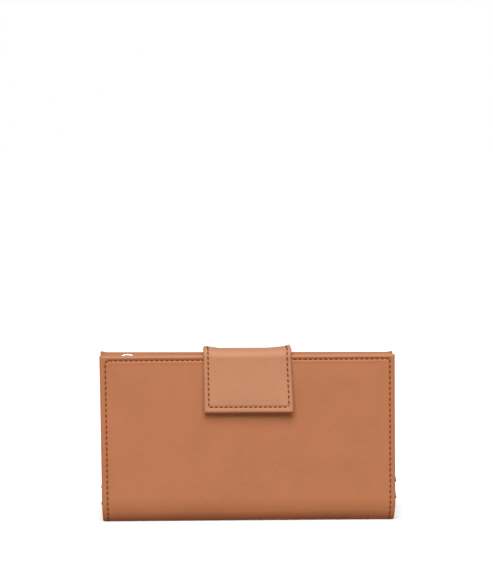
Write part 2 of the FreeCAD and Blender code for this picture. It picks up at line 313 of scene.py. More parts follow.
def shell(name, face, back):
    """A closed mesh from two grids of points that share their rim or are joined along it."""
    rows, cols = face.shape[:2]
    points = np.concatenate([face.reshape(-1, 3), back.reshape(-1, 3)])
    index = np.arange(rows * cols).reshape(rows, cols)
    offset = rows * cols
    a, b = index[:-1, :-1].ravel(), index[1:, :-1].ravel()
    c, d = index[1:, 1:].ravel(), index[:-1, 1:].ravel()
    faces = np.concatenate([np.stack([a, b, c, d], 1), np.stack([d, c, b, a], 1) + offset])
    border = np.concatenate([index[:, 0], index[-1, 1:], index[-2::-1, -1], index[0, -2:0:-1]])
    after = np.roll(border, -1)
    sides = np.stack([after, border, border + offset, after + offset], 1)
    mesh = bpy.data.meshes.new(name)
    mesh.from_pydata((points * MM).tolist(), [], np.concatenate([faces, sides]).tolist())
    piece = bpy.data.objects.new(name, mesh)
    bpy.context.scene.collection.objects.link(piece)
    tidy(piece)
    return piece


def tidy(piece, sharp_angle=50):
    """Merges doubled points, turns the faces outwards and shades smoothly between sharp edges."""
    same_point, no_length = 0.004 * MM, 0.002 * MM
    work = bmesh.new()
    work.from_mesh(piece.data)
    bmesh.ops.remove_doubles(work, verts=work.verts, dist=same_point)
    bmesh.ops.dissolve_degenerate(work, edges=work.edges, dist=no_length)
    bmesh.ops.recalc_face_normals(work, faces=work.faces)
    work.to_mesh(piece.data)
    work.free()
    for polygon in piece.data.polygons:
        polygon.use_smooth = True
    piece.data.set_sharp_from_angle(angle=math.radians(sharp_angle))


def mesh_object(name, points, faces, sharp_angle=50):
    mesh = bpy.data.meshes.new(name)
    mesh.from_pydata((np.asarray(points) * MM).tolist(), [], [list(f) for f in faces])
    piece = bpy.data.objects.new(name, mesh)
    bpy.context.scene.collection.objects.link(piece)
    tidy(piece, sharp_angle)
    return piece


# ---------------------------------------------------------------- stitching

def stitch_centres(route, pitch=PITCH):
    """The needle holes along a polyline of (x, s) points, with one at each of its corners."""
    holes = [route[0]]
    for (x0, s0), (x1, s1) in zip(route, route[1:]):
        count = stitch_count(x0, s0, x1, s1, pitch)
        for t in np.arange(1, count + 1) / count:
            holes.append((x0 + (x1 - x0) * t, s0 + (s1 - s0) * t))
    return np.array(holes)


def thread_points(sheet, start, end, length, pitch, radius, lift, rings, sides):
    """Rings of points along one stitch, which dips into the leather at both of its ends."""
    sunk, end_fat, twist_depth, turns = 0.42, 0.55, 0.13, 5.2
    t = np.linspace(0, 1, rings)
    where = start[None] + (end - start)[None] * t[:, None]
    arch = np.sin(math.pi * t)
    height = -sunk + (sunk + lift) * np.sqrt(np.clip(arch, 0, 1))
    centre, normal = sheet.place(where[:, 0], where[:, 1], 0)
    centre = centre + normal * height[:, None]
    forward = np.gradient(centre, axis=0)
    forward /= np.linalg.norm(forward, axis=1)[:, None]
    sideways = np.cross(forward, normal)
    sideways /= np.linalg.norm(sideways, axis=1)[:, None]
    up = np.cross(sideways, forward)
    points = []
    for k in range(rings):
        fat = radius * (end_fat + (1 - end_fat) * math.sqrt(max(0.0, arch[k])))
        for j in range(sides):
            a = 2 * math.pi * j / sides
            twist = 1 + twist_depth * math.cos(2 * (a - turns * t[k] * length / pitch))
            points.append(centre[k] + fat * twist * (sideways[k] * math.cos(a) + up[k] * math.sin(a)))
    return points


def tube_faces(base, rings, sides):
    """The faces of a closed tube whose rings of points start at index `base`."""
    faces = []
    for k in range(rings - 1):
        for j in range(sides):
            a = base + k * sides + j
            b = base + k * sides + (j + 1) % sides
            faces.append((a, b, b + sides, a + sides))
    faces.append(tuple(base + j for j in range(sides))[::-1])
    faces.append(tuple(base + (rings - 1) * sides + j for j in range(sides)))
    return faces


def hole_points(sheet, x, s, sides):
    """A needle hole: a raised lip, a ring inside it, its bottom and a point behind it."""
    lip_radius, lip_height, mouth_radius, mouth_depth = 0.62, 0.06, 0.42, 0.04
    bottom, behind = 0.35, 0.40
    centre, normal = sheet.place(np.array([x]), np.array([s]), 0)
    centre, normal = centre[0], normal[0]
    sideways = np.array([1.0, 0.0, 0.0])
    up = np.cross(normal, sideways)
    points = []
    for size, height in ((lip_radius, lip_height), (mouth_radius, -mouth_depth)):
        for j in range(sides):
            a = 2 * math.pi * j / sides
            points.append(centre + normal * height + size * (sideways * math.cos(a) + up * math.sin(a)))
    return points + [centre - normal * bottom, centre - normal * behind]


def hole_faces(base, sides):
    """The faces of a needle hole whose points start at index `base`."""
    faces = []
    bottom, behind = base + 2 * sides, base + 2 * sides + 1
    for j in range(sides):
        k = (j + 1) % sides
        faces.append((base + j, base + k, base + sides + k, base + sides + j))
        faces.append((base + sides + j, base + sides + k, bottom))
    for j in range(sides):
        k = (j + 1) % sides
        faces.append((base + k, base + j, behind))
    return faces


def stitch_mesh(name, sheet, routes, radius=0.45, lift=0.22, pitch=PITCH, fine=True):
    """Every stitch of the given routes on one sheet, as lengths of twisted thread between
    needle holes. The thread does run into each hole, but the darker thread colour over the whole dimple
    and its lip is painted shade.
    Returns one piece: thread in its first material, holes in its second."""
    slant, gap, upright_gap, hole_sides = 0.18, 0.38, 0.30, 8
    rings, sides = (11, 10) if fine else (7, 6)
    points, faces, kinds = [], [], []
    for route in routes:
        holes = stitch_centres(route, pitch)
        for (x0, s0), (x1, s1) in zip(holes, holes[1:]):
            direction = np.array([x1 - x0, s1 - s0])
            length = np.linalg.norm(direction)
            direction = direction / length
            across = np.array([-direction[1], direction[0]])
            ends = gap + upright_gap * abs(direction[1])
            start = np.array([x0, s0]) + direction * ends + across * slant
            end = np.array([x1, s1]) - direction * ends - across * slant
            new_faces = tube_faces(len(points), rings, sides)
            points += thread_points(sheet, start, end, length, pitch, radius, lift, rings, sides)
            faces += new_faces
            kinds += [0] * len(new_faces)
        for x, s in holes:
            new_faces = hole_faces(len(points), hole_sides)
            points += hole_points(sheet, x, s, hole_sides)
            faces += new_faces
            kinds += [1] * len(new_faces)
    mesh = bpy.data.meshes.new(name)
    mesh.from_pydata((np.array(points) * MM).tolist(), [], faces)
    mesh.polygons.foreach_set("material_index", kinds)
    mesh.polygons.foreach_set("use_smooth", [True] * len(faces))
    piece = bpy.data.objects.new(name, mesh)
    bpy.context.scene.collection.objects.link(piece)
    paint(piece, THREAD, HOLE_PAINTED_SHADE)
    return piece


# ---------------------------------------------------------------- materials

def new_material(name):
    material = bpy.data.materials.new(name)
    material.use_nodes = True
    tree = material.node_tree
    tree.nodes.clear()
    out = tree.nodes.new("ShaderNodeOutputMaterial")
    shader = tree.nodes.new("ShaderNodeBsdfPrincipled")
    tree.links.new(shader.outputs[0], out.inputs[0])
    coords = tree.nodes.new("ShaderNodeTexCoord")
    return material, tree, shader, coords.outputs["Object"]


def noise(tree, coords, size_mm, detail=3.0, roughness=0.55, stretch=None):
    node = tree.nodes.new("ShaderNodeTexNoise")
    node.inputs["Scale"].default_value = 1 / (size_mm * MM)
    node.inputs["Detail"].default_value = detail
    node.inputs["Roughness"].default_value = roughness
    source = coords
    if stretch is not None:
        mapping = tree.nodes.new("ShaderNodeMapping")
        mapping.inputs["Scale"].default_value = stretch
        tree.links.new(coords, mapping.inputs[0])
        source = mapping.outputs[0]
    tree.links.new(source, node.inputs["Vector"])
    return node.outputs["Fac"]


def ramp(tree, value, stops):
    node = tree.nodes.new("ShaderNodeValToRGB")
    tree.links.new(value, node.inputs[0])
    while len(node.color_ramp.elements) < len(stops):
        node.color_ramp.elements.new(0.5)
    for element, (position, colour) in zip(node.color_ramp.elements, stops):
        element.position = position
        element.color = (*colour, 1)
    return node.outputs[0]


def maths(tree, operation, a, b):
    node = tree.nodes.new("ShaderNodeMath")
    node.operation = operation
    for socket, value in zip(node.inputs, (a, b)):
        if isinstance(value, (int, float)):
            socket.default_value = value
        else:
            tree.links.new(value, socket)
    return node.outputs[0]


def spread_value(tree, value, low, high, out_low, out_high):
    node = tree.nodes.new("ShaderNodeMapRange")
    tree.links.new(value, node.inputs["Value"])
    limits = {"From Min": low, "From Max": high, "To Min": out_low, "To Max": out_high}
    for key, number in limits.items():
        node.inputs[key].default_value = number
    return node.outputs[0]


def blend_values(tree, *parts):
    """The sum of several values, each times its share."""
    scaled = [maths(tree, "MULTIPLY", value, share) for value, share in parts]
    total = scaled[0]
    for value in scaled[1:]:
        total = maths(tree, "ADD", total, value)
    return total


def bump(tree, shader, height, strength, distance_mm):
    node = tree.nodes.new("ShaderNodeBump")
    node.inputs["Strength"].default_value = strength
    node.inputs["Distance"].default_value = distance_mm * MM
    tree.links.new(height, node.inputs["Height"])
    tree.links.new(node.outputs[0], shader.inputs["Normal"])


def shade(colour, factor):
    return tuple(min(1.0, c * factor) for c in colour)


def leather(name, colour, gloss=0.52, shine=0.3):
    """Smooth imitation leather: fine pebbled grain, faint mottling and a soft, uneven sheen."""
    material, tree, shader, coords = new_material(name)
    cloud = noise(tree, coords, size_mm=26, detail=4, roughness=0.6)
    speck = noise(tree, coords, size_mm=1.3, roughness=0.6, stretch=(0.6, 1, 1.4))
    mixed = blend_values(tree, (cloud, 0.6), (speck, 0.4))
    tone = ramp(tree, mixed, [(0.30, shade(colour, 0.90)), (0.50, colour), (0.72, shade(colour, 1.07))])
    tree.links.new(tone, shader.inputs["Base Color"])
    cells = tree.nodes.new("ShaderNodeTexVoronoi")
    cells.feature = "SMOOTH_F1"
    pebble_mm = 0.55
    cells.inputs["Scale"].default_value = 1 / (pebble_mm * MM)
    cells.inputs["Smoothness"].default_value = 0.6
    tree.links.new(coords, cells.inputs["Vector"])
    fine = noise(tree, coords, size_mm=0.35, detail=4, roughness=0.65)
    height = maths(tree, "ADD", cells.outputs["Distance"], maths(tree, "MULTIPLY", fine, 0.8))
    bump(tree, shader, height, strength=0.65, distance_mm=0.11)
    rough = spread_value(tree, mixed, 0.3, 0.7, gloss - 0.05, gloss + 0.06)
    tree.links.new(rough, shader.inputs["Roughness"])
    shader.inputs["Specular IOR Level"].default_value = shine
    return material


def woven(name, colour, thread_mm=0.42, diagonal=True):
    """Fine woven cloth; diagonal ribs for a twill lining, straight ones for a zip tape."""
    material, tree, shader, coords = new_material(name)
    ribs = []
    waves_per_scale = 0.31
    for turn in ((45, -45) if diagonal else (0, 90)):
        mapping = tree.nodes.new("ShaderNodeMapping")
        mapping.inputs["Rotation"].default_value = (0, math.radians(turn), 0)
        tree.links.new(coords, mapping.inputs[0])
        wave = tree.nodes.new("ShaderNodeTexWave")
        wave.wave_profile = "SIN"
        wave.inputs["Scale"].default_value = waves_per_scale / (thread_mm * MM)
        wave.inputs["Distortion"].default_value = 0.6
        wave.inputs["Detail"].default_value = 2
        tree.links.new(mapping.outputs[0], wave.inputs["Vector"])
        ribs.append(wave.outputs["Fac"])
    weave = blend_values(tree, (ribs[0], 0.7), (ribs[1], 0.3))
    fuzz = noise(tree, coords, size_mm=0.3, roughness=0.7)
    cloud = noise(tree, coords, size_mm=18, roughness=0.6)
    mixed = blend_values(tree, (weave, 0.6), (fuzz, 0.2), (cloud, 0.2))
    tone = ramp(tree, mixed, [(0.2, shade(colour, 0.55)), (0.55, colour), (0.85, shade(colour, 1.25))])
    tree.links.new(tone, shader.inputs["Base Color"])
    height = maths(tree, "ADD", weave, maths(tree, "MULTIPLY", fuzz, 0.3))
    bump(tree, shader, height, strength=0.5, distance_mm=0.12)
    tree.links.new(spread_value(tree, mixed, 0.2, 0.8, 0.72, 0.9), shader.inputs["Roughness"])
    shader.inputs["Sheen Weight"].default_value = 0.25
    shader.inputs["Sheen Roughness"].default_value = 0.5
    return material


def metal(name, colour, rough):
    """Polished plated metal with faint handling marks."""
    material, tree, shader, coords = new_material(name)
    scuff = noise(tree, coords, size_mm=0.8, detail=5, roughness=0.7, stretch=(0.25, 1, 1))
    cloud = noise(tree, coords, size_mm=4, roughness=0.6)
    tone = ramp(tree, cloud, [(0.3, shade(colour, 0.9)), (0.7, colour)])
    tree.links.new(tone, shader.inputs["Base Color"])
    dulled = spread_value(tree, scuff, 0.3, 0.75, rough, rough + 0.16)
    tree.links.new(dulled, shader.inputs["Roughness"])
    bump(tree, shader, scuff, strength=0.08, distance_mm=0.02)
    shader.inputs["Metallic"].default_value = 1.0
    return material


def twisted_thread(name, colour):
    """Matt waxed thread with short fibres."""
    material, tree, shader, coords = new_material(name)
    fuzz = noise(tree, coords, size_mm=0.16, detail=4, roughness=0.7)
    cloud = noise(tree, coords, size_mm=3, detail=2, roughness=0.5)
    mixed = blend_values(tree, (fuzz, 0.6), (cloud, 0.4))
    tone = ramp(tree, mixed, [(0.3, shade(colour, 0.7)), (0.7, shade(colour, 1.25))])
    tree.links.new(tone, shader.inputs["Base Color"])
    tree.links.new(spread_value(tree, fuzz, 0.3, 0.7, 0.75, 0.9), shader.inputs["Roughness"])
    bump(tree, shader, fuzz, strength=0.4, distance_mm=0.05)
    shader.inputs["Specular IOR Level"].default_value = 0.12
    return material


TAN = (0.350, 0.131, 0.056)
COVER = leather("cover_leather", TAN)
# The cover's tan leather, made paler and less saturated: painted sheen for the light that the tab's
# upward-tilted face catches from above.
SHEEN_PAINTED_LEATHER = leather("tab_leather_painted_sheen", (0.380, 0.175, 0.095), gloss=0.60, shine=0.18)
INNER = leather("inner_leather", shade(TAN, 0.95), gloss=0.55)
THREAD = twisted_thread("thread", (0.165, 0.040, 0.006))
# Needle holes: a darker copy of the thread colour over each dimple and its lip. This is painted shade
# in the hole, added to the thread that really runs into it.
HOLE_PAINTED_SHADE = twisted_thread("needle_hole_painted_shade", (0.13, 0.034, 0.006))
LINING = woven("lining_twill", (0.13, 0.062, 0.034))
TAPE = woven("zip_tape", (0.17, 0.080, 0.042), thread_mm=0.5, diagonal=False)
NICKEL = metal("nickel", (0.83, 0.82, 0.80), rough=0.16)
SNAP = metal("snap_metal", (0.76, 0.74, 0.71), rough=0.22)


def paint(piece, *materials):
    piece.data.materials.clear()
    for material in materials:
        piece.data.materials.append(material)
    return piece


# ---------------------------------------------------------------- outer cover

def cover_path(face, direction):
    """From the middle of the spine, round the fold and up one leaf to its top edge."""
    points = line((MIDDLE, 0), (face + direction * FOLD_DEEP, 0))
    points += corner((face + direction * FOLD_DEEP, 0), (face, FOLD_TALL), FOLD_POWER)[1:]
    points += line((face, FOLD_TALL), (face, TOP))[1:]
    return Path(points, direction)


FRONT_PATH = cover_path(FRONT, 1)
BACK_PATH = cover_path(BACK, -1)


def cover_seam(path, cut_left, cut_right):
    """The stitch row up one side, across below the top edge and down the other side. A cut
    is how much of a corner the row leaves out."""
    first, rise = 0.8, 0.35
    x = HALF - SEAM_INSET
    top = path.length - SEAM_INSET
    left = -x + LEFT_SEAM_EXTRA
    route = [(left, first), (left, top - cut_left), (left + cut_left, top)]
    right_top = top + rise
    if cut_right > 0:
        return route + [(x - cut_right, right_top), (x, right_top - cut_right), (x, first)]
    return route + [(x, right_top), (x, first)]


def cover_relief(path, seam, seed):
    """A lip between edge and seam, a slight fullness inside the seam, and unevenness, which
    both fade out towards the fold."""
    lip_height, lip_at, lip_width = 0.16, 1.7, 0.8
    fullness, fullness_from_seam = 0.30, 12
    unevenness, fade = 0.20, 25

    def relief(x, s):
        edge = np.minimum(HALF - np.abs(x), path.length - s)
        lip = lip_height * np.exp(-((edge - lip_at) / lip_width) ** 2)
        full = fullness * smooth(np.clip((edge - SEAM_INSET) / fullness_from_seam, 0, 1))
        calm = np.clip((s - FOLD_DEEP) / fade, 0, 1)
        uneven = waves(x, s, unevenness, seed)
        return seam_relief(x, s, [seam], pitch=COVER_PITCH) + lip + full * calm + uneven * calm
    return relief


def cover_side(path):
    """The leaf leans a little to one side, widens to its top and draws in at the fold."""
    leans, widens = 0.65, 0.35
    left_in, left_tall, right_in, right_tall = 0.3, 9.0, 0.7, 7.0

    def shape(x, s):
        _, z, _, _ = path.at(s)
        lean = leans * (1 - z / TOP) + widens * (x / HALF) * (z / TOP) ** 2
        left = left_in * np.exp(-(z / left_tall) ** 2) * np.clip(-x / HALF, 0, 1) ** 6
        right = right_in * np.exp(-(z / right_tall) ** 2) * np.clip(x / HALF, 0, 1) ** 6
        return lean + left - right
    return shape


def cover_rim(path, raised, slope):
    """The top edge rises slightly at its two corners and may slope, and the fold lifts off
    the table in the middle."""
    top_band, corner_width, floor_band = 8, 2.6, 6
    lifted, arched, more_to_the_right = 0.45, 0.55, 0.25

    def shift(x, s):
        _, z, _, _ = path.at(s)
        move = np.zeros(np.shape(x) + (3,))
        near_top = np.clip((z - TOP + top_band) / top_band, 0, 1) ** 2
        horn = np.exp(-((HALF - np.abs(x)) / corner_width) ** 2) * raised
        near_floor = np.clip(1 - z / floor_band, 0, 1)
        arch = lifted + (arched + more_to_the_right * x / HALF) * (1 - (x / HALF) ** 4)
        move[..., 2] = (horn - slope * x / HALF) * near_top + arch * near_floor
        return move
    return shift


def fold_blend(piece):
    """Bakes the piece's placement into its mesh; it is not bound to the spine or to the leaf."""
    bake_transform(piece)


def finish_piece(piece, material, slot, *nodes):
    paint(piece, material)
    if nodes:
        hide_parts(*nodes)
    return piece


LINING_THICK = 0.3
LINING_SIDE = 1.6
LINING_TOP = 2.2
FACING_THICK = 0.6
FACING_SIDE = 1.1
FACING_TOP = 0.9
FACING_LOW = 92.0
FACING_SUNK = 0.04


def build_leaf(side, path, cuts, raised, lining_nodes, cover_nodes, seed):
    """One leaf's leather cover, its stitching, its cloth lining and the tan facing along the
    top."""
    seam = cover_seam(path, *cuts)
    placed = {"side_shape": cover_side(path), "shift": cover_rim(path, *raised)}
    cover = Sheet(path, HALF, 0, path.length, COVER_THICK, cover_relief(path, seam, seed),
                  face_rim=1.15, **placed)
    piece = cover.build("outer_cover_" + side, step_x=GRID, step_s=GRID, fine=0.4)
    finish_piece(piece, COVER, "cover_leather", *cover_nodes)
    thread = stitch_mesh("outer_stitching_" + side, cover, [seam], pitch=COVER_PITCH)

    lining = Sheet(path, HALF - LINING_SIDE, 0, path.length - LINING_TOP, LINING_THICK,
                   waves_of(0.05, seed + 1), under=COVER_THICK, **placed)
    cloth = lining.build(side + "_lining_cloth", step_x=4, step_s=3, fine=0.8, fine_width=2)
    finish_piece(cloth, LINING, "lining_fabric", *lining_nodes)

    facing = Sheet(path, HALF - FACING_SIDE, path.s_at(FACING_LOW), path.length - FACING_TOP,
                   FACING_THICK, under=COVER_THICK + LINING_THICK - FACING_SUNK, round_low=True,
                   **placed)
    strip = facing.build(side + "_facing", step_x=3, step_s=1.5, fine=0.5, fine_width=2)
    # The facing is the same tan leather, given its paler copy: painted light on the band along the top.
    finish_piece(strip, SHEEN_PAINTED_LEATHER, "cover_leather")
    for part in (piece, thread, cloth, strip):
        fold_blend(part)


build_leaf("front", FRONT_PATH, cuts=(1.7, 0), raised=(0.1, 0.0),
           lining_nodes=["front_lining", "spine_lining"],
           cover_nodes=["front_cover_leather", "spine_leather", "front_board"], seed=3)
build_leaf("back", BACK_PATH, cuts=(0, 2.4), raised=(0.7, 0.5),
           lining_nodes=["back_lining"], cover_nodes=["back_cover_leather", "back_board"], seed=8)


# ---------------------------------------------------------------- closing tab

TAB_OUTER = 1.6
TAB_INNER = 0.8
TAB_INSET = 2.75
TAB_END_INSET = 4.1
TAB_STANDS_OUT = 2.6
BACKING_MARGIN = 0.25
BACKING_SUNK = 0.04


def tab_front_path():
    """From the middle of the arch, over the front edge and down to the tab's end."""
    face = flap_low[1]
    top, turn = TAB_TOP, 5.5
    squareness, late = 2.2, 1.3
    points = line((MIDDLE, top), (face + turn, top))
    points += corner((face + turn, top), (face, top - turn), squareness)[1:]
    reach = top - turn - FLAP_END
    down = line((face, top - turn), (face, FLAP_END))[1:]
    points += [(y - TAB_STANDS_OUT * ((top - turn - z) / reach) ** late, z) for y, z in down]
    return Path(points, -1)


def tab_back_path():
    """From the middle of the arch, over the back edge and down to the tab's sewn end."""
    face = anchor_high[1]
    top, turn = TAB_TOP, 3.5
    points = line((MIDDLE, top), (face - turn, top))
    points += corner((face - turn, top), (face, top - turn), power=2)[1:]
    points += line((face, top - turn), (face, ANCHOR_END))[1:]
    return Path(points, 1)


TAB_FRONT = tab_front_path()
TAB_BACK = tab_back_path()


def tab_seam(path, cut_right):
    """The stitch row down one side, across above the end and up the other side."""
    left_extra = 0.3
    x = TAB_HALF - TAB_INSET
    end = path.length - TAB_END_INSET
    if cut_right > 0:
        left = -x + left_extra
        return [(left, 0), (left, end), (x - cut_right, end), (x, end - cut_right), (x, 0)]
    return [(-x, 0), (-x, end), (x, end), (x, 0)]


def tab_relief(path, seam, seed):
    """A lip outside the seam, a slight fullness inside it, and an end that rolls under."""
    lip_height, lip_at, lip_width = 0.24, 1.35, 0.6
    fullness, fullness_from_seam = 0.40, 7
    roll, roll_length = 0.7, 2.3
    unevenness = 0.12

    def relief(x, s):
        edge = np.minimum(TAB_HALF - np.abs(x), path.length - s)
        lip = lip_height * np.exp(-((edge - lip_at) / lip_width) ** 2)
        full = fullness * smooth(np.clip((edge - TAB_INSET) / fullness_from_seam, 0, 1))
        under = roll * np.clip(1 - (path.length - s) / roll_length, 0, 1) ** 2
        uneven = waves(x, s, unevenness, seed)
        return seam_relief(x, s, [seam], width=0.48) + lip + full - under + uneven
    return relief


def tab_shift(path, front):
    """The arch sags between its stitched edges where it crosses the open top, and the
    loose front end leans a little to one side and stands prouder there."""
    band, turn_in = 9, 4
    left_rise, left_from, left_width = 1.45, 16.5, 9
    right_rise, right_from, right_width = 2.1, 10, 16.5
    crest_drop, sag, right_out = 1.15, 0.3, 0.35
    sideways, wider, prouder, proud_from = 0.9, 0.5, 0.9, -8

    def shift(x, s):
        y, z, _, _ = path.at(s)
        near_top = np.clip((z - (TAB_TOP - band)) / band, 0, 1) ** 1.5
        left_ear = left_rise * smooth(np.clip((-x - left_from) / left_width, 0, 1))
        right_ear = right_rise * np.clip((x - right_from) / right_width, 0, 1.05) ** 2.2
        deep = np.clip((y - flap_low[1]) / (anchor_high[1] - flap_low[1]), 0, 1)
        hang = np.sin(math.pi * deep) ** 2
        move = np.zeros(np.shape(x) + (3,))
        move[..., 2] = (left_ear + right_ear - crest_drop - sag * hang) * near_top
        move[..., 0] = right_out * near_top * np.clip(x / TAB_HALF, 0, 1) ** 4
        if front:
            start = TAB_TOP - turn_in
            down = np.clip((start - z) / (start - FLAP_END), 0, 1)
            side = np.clip((x - proud_from) / (TAB_HALF - proud_from), 0, 1)
            move[..., 0] += sideways * down + wider * down * (x / TAB_HALF)
            move[..., 1] = -prouder * down * side ** 2
        return move
    return shift


def build_tab(side, path, leather_nodes, lining_nodes, cut_right, seed):
    """One half of the closing tab, from the middle of the arch to its end: outer leather,
    its stitching and the leather that lines it."""
    seam = tab_seam(path, cut_right)
    shift = tab_shift(path, side == "front")
    outer = Sheet(path, TAB_HALF, 0, path.length, TAB_OUTER, tab_relief(path, seam, seed),
                  shift=shift, corner_radius=1.0, face_rim=TAB_OUTER - 0.05)
    piece = outer.build("tab_leather_painted_sheen_" + side, step_x=GRID, step_s=GRID, fine=0.4, fine_width=4.6)
    # The tab's outer leather takes the paler copy of the tan, with its painted sheen.
    finish_piece(piece, SHEEN_PAINTED_LEATHER, "cover_leather", *leather_nodes)

    inner = Sheet(path, TAB_HALF - BACKING_MARGIN, 0, path.length - BACKING_MARGIN, TAB_INNER,
                  waves_of(0.08, seed + 1), shift=shift, corner_radius=1.0,
                  under=TAB_OUTER - BACKING_SUNK)
    backing = inner.build("tab_backing_" + side, step_x=2, step_s=1.5, fine=0.5, fine_width=2)
    finish_piece(backing, INNER, "tab_lining", *lining_nodes)

    thread = stitch_mesh("tab_stitching_" + side, outer, [seam])
    for part in (piece, backing, thread):
        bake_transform(part)


build_tab("front", TAB_FRONT,
          leather_nodes=["tab_bridge_leather", "tab_flap_leather"],
          lining_nodes=["tab_bridge_lining", "tab_flap_lining"], cut_right=1.1, seed=21)
build_tab("back", TAB_BACK, leather_nodes=["tab_anchor_leather"],
          lining_nodes=["tab_anchor_lining"], cut_right=0, seed=31)


# ---------------------------------------------------------------- card slots and pocket walls

SLOT_HALF = 89.0


def upright(y, low, high, towards):
    """A straight path up a flat panel whose face looks along Y, towards -1 or 1."""
    return Path(line((y, low), (y, high)), 1 if towards < 0 else -1)


def panel_relief(seam, mouth, seed):
    """A folded hem along the mouth, with the seam pulled into the leather."""
    unevenness, seam_depth, seam_width, seam_share = 0.06, 0.14, 0.45, 0.8
    hem, hem_at, hem_width = 0.16, 0.9, 0.8

    def relief(x, s):
        pulled = seam_relief(x, s, seam, seam_depth, seam_width) * seam_share
        folded = hem * np.exp(-((np.abs(s - mouth) - hem_at) / hem_width) ** 2)
        return waves(x, s, unevenness, seed) + pulled + folded
    return relief


def build_panel(name, node, body, towards, mouth, seams, thick, seed, half=None, side_shape=None,
                shift=None):
    """A flat leather panel with its stitching. Its face looks along Y, towards -1 or 1, and
    its mouth is its low or its high edge."""
    low, high = cad_box(node)
    y = high[1] if towards > 0 else low[1]
    path = upright(y, low[2], high[2], towards)
    edge = 0 if mouth == "low" else path.length
    relief = panel_relief(seams(path.length), edge, seed)
    sheet = Sheet(path, half or high[0], 0, path.length, thick, relief, side_shape=side_shape,
                  shift=shift, round_low=True, corner_radius=0.7)
    piece = sheet.build(name, step_x=2.2, step_s=1.6, fine=0.55, fine_width=3.4)
    finish_piece(piece, INNER, "inner_leather", node)
    thread = stitch_mesh(name + "_stitching", sheet, seams(path.length), radius=0.26, lift=0.08,
                         pitch=3.0, fine=False)
    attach(piece, body)
    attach(thread, body)


def slot_seams(mouth, shown, hem=2.0, inset=3.2, edge_gap=0.9, middle_gap=1.2):
    """The row along the mouth, and the rows down both sides and the middle as far as shown."""
    def seams(length):
        near, far = (edge_gap, shown) if mouth == "low" else (length - shown, length - edge_gap)
        row = hem if mouth == "low" else length - hem
        x = SLOT_HALF - inset
        return [[(-x, row), (-middle_gap, row)], [(middle_gap, row), (x, row)],
                [(-x, near), (-x, far)], [(x, near), (x, far)], [(0, near), (0, far)]]
    return seams


def slot_ears(amount):
    """The mouth's two ends stand a little proud, and the whole slot sits a little aside."""
    fade, sharpness, aside = 5.0, 8, 0.7

    def shape(x, s):
        ends = (np.abs(x) / SLOT_HALF) ** sharpness
        return np.sign(x) * amount * np.exp(-s / fade) * ends + aside
    return shape


def slot_tilt(x, s):
    """The slot leather was glued in slightly crooked."""
    raised, crooked = 1.0, 1.3
    move = np.zeros(np.shape(x) + (3,))
    move[..., 2] = raised + crooked * x / SLOT_HALF
    return move


# How far the side seams run from a slot's mouth, on a stepped slot and on the last one.
STEP_SHOWN = 11.5
LAST_SHOWN = 54
SLOT_THICK = 0.4
WALL_THICK = 0.8

for number in (1, 2, 3, 4):
    shown = STEP_SHOWN if number < 4 else LAST_SHOWN
    half, ears = (91.2, 1.35) if number < 3 else (90.4, 0.0)
    build_panel("front_slot_%d" % number, "front_card_slot_%d" % number, "front", 1, "low",
                slot_seams("low", shown), SLOT_THICK, 40 + number, half=half,
                side_shape=slot_ears(ears), shift=slot_tilt)
for number in (1, 2, 3):
    shown = STEP_SHOWN if number < 3 else LAST_SHOWN
    build_panel("back_slot_%d" % number, "back_card_slot_%d" % number, "back", -1, "high",
                slot_seams("high", shown), SLOT_THICK, 50 + number)


def wall_seams(length):
    """A row all round the wall, and a second one below its top that holds the zip tape."""
    x, low, from_top = 87.5, 2.5, 2.0
    second_in, second_down = 2, 4.5
    top = length - from_top
    around = [(-x, low), (-x, top), (x, top), (x, low), (-x, low)]
    return [around, [(-x + second_in, top - second_down), (x - second_in, top - second_down)]]


build_panel("coin_wall_front", "coin_pocket_front", "back", -1, "high", wall_seams, WALL_THICK, 61)
build_panel("coin_wall_back", "coin_pocket_back", "back", 1, "high", wall_seams, WALL_THICK, 62)


# ---------------------------------------------------------------- gussets

def side_gusset(name, node, side, tuck, thick=0.5):
    """A strip between two walls, folded inwards down its middle."""
    steps_across, steps_up = 25, 40
    rounding, crease_at = 0.02, 0.1414
    low_share, unevenness, stretch, seed = 0.75, 0.12, 9, 70
    low, high = cad_box(node)
    outer = high[0] if side > 0 else low[0]
    t = np.linspace(0, 1, steps_across)
    tall = np.linspace(low[2], high[2], steps_up)
    across, up = np.meshgrid(t, tall, indexing="ij")
    width = high[1] - low[1]
    y = low[1] + width * across
    soft = np.sqrt((2 * across - 1) ** 2 + rounding) - crease_at
    depth = tuck * (1 - soft / (math.sqrt(1 + rounding) - crease_at))
    opened = low_share + (1 - low_share) * (up - low[2]) / (high[2] - low[2])
    depth = depth * opened + waves(y * stretch, up, unevenness, seed)
    x = outer - side * depth
    face = np.stack([x, y, up], -1)
    back = face - np.array([side * thick, 0, 0])
    piece = shell(name, face, back)
    finish_piece(piece, INNER, "inner_leather", node)
    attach(piece, "back")


def bottom_gusset(name, node, sag, thick=0.5):
    """The pocket's floor, which hangs a little between its walls."""
    steps_across, steps_along = 13, 60
    low, high = cad_box(node)
    t = np.linspace(0, 1, steps_across)
    xs = np.linspace(low[0], high[0], steps_along)
    x, across = np.meshgrid(xs, t, indexing="ij")
    y = low[1] + (high[1] - low[1]) * across
    z = high[2] - sag * 4 * across * (1 - across)
    face = np.stack([x, y, z], -1)
    back = face - np.array([0, 0, thick])
    piece = shell(name, face, back)
    finish_piece(piece, INNER, "inner_leather", node)
    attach(piece, "back")


for pocket, tuck in (("coin", 4.2), ("bill", 6.0)):
    for hand, side in (("left", -1), ("right", 1)):
        side_gusset(pocket + "_pleat_" + hand, pocket + "_gusset_" + hand, side, tuck)
bottom_gusset("coin_floor", "coin_gusset_bottom", 1.4)
bottom_gusset("bill_floor", "bill_gusset_bottom", 1.0)


# ---------------------------------------------------------------- zip

TAPE_HALF = 84.6
TAPE_THICK = 0.45


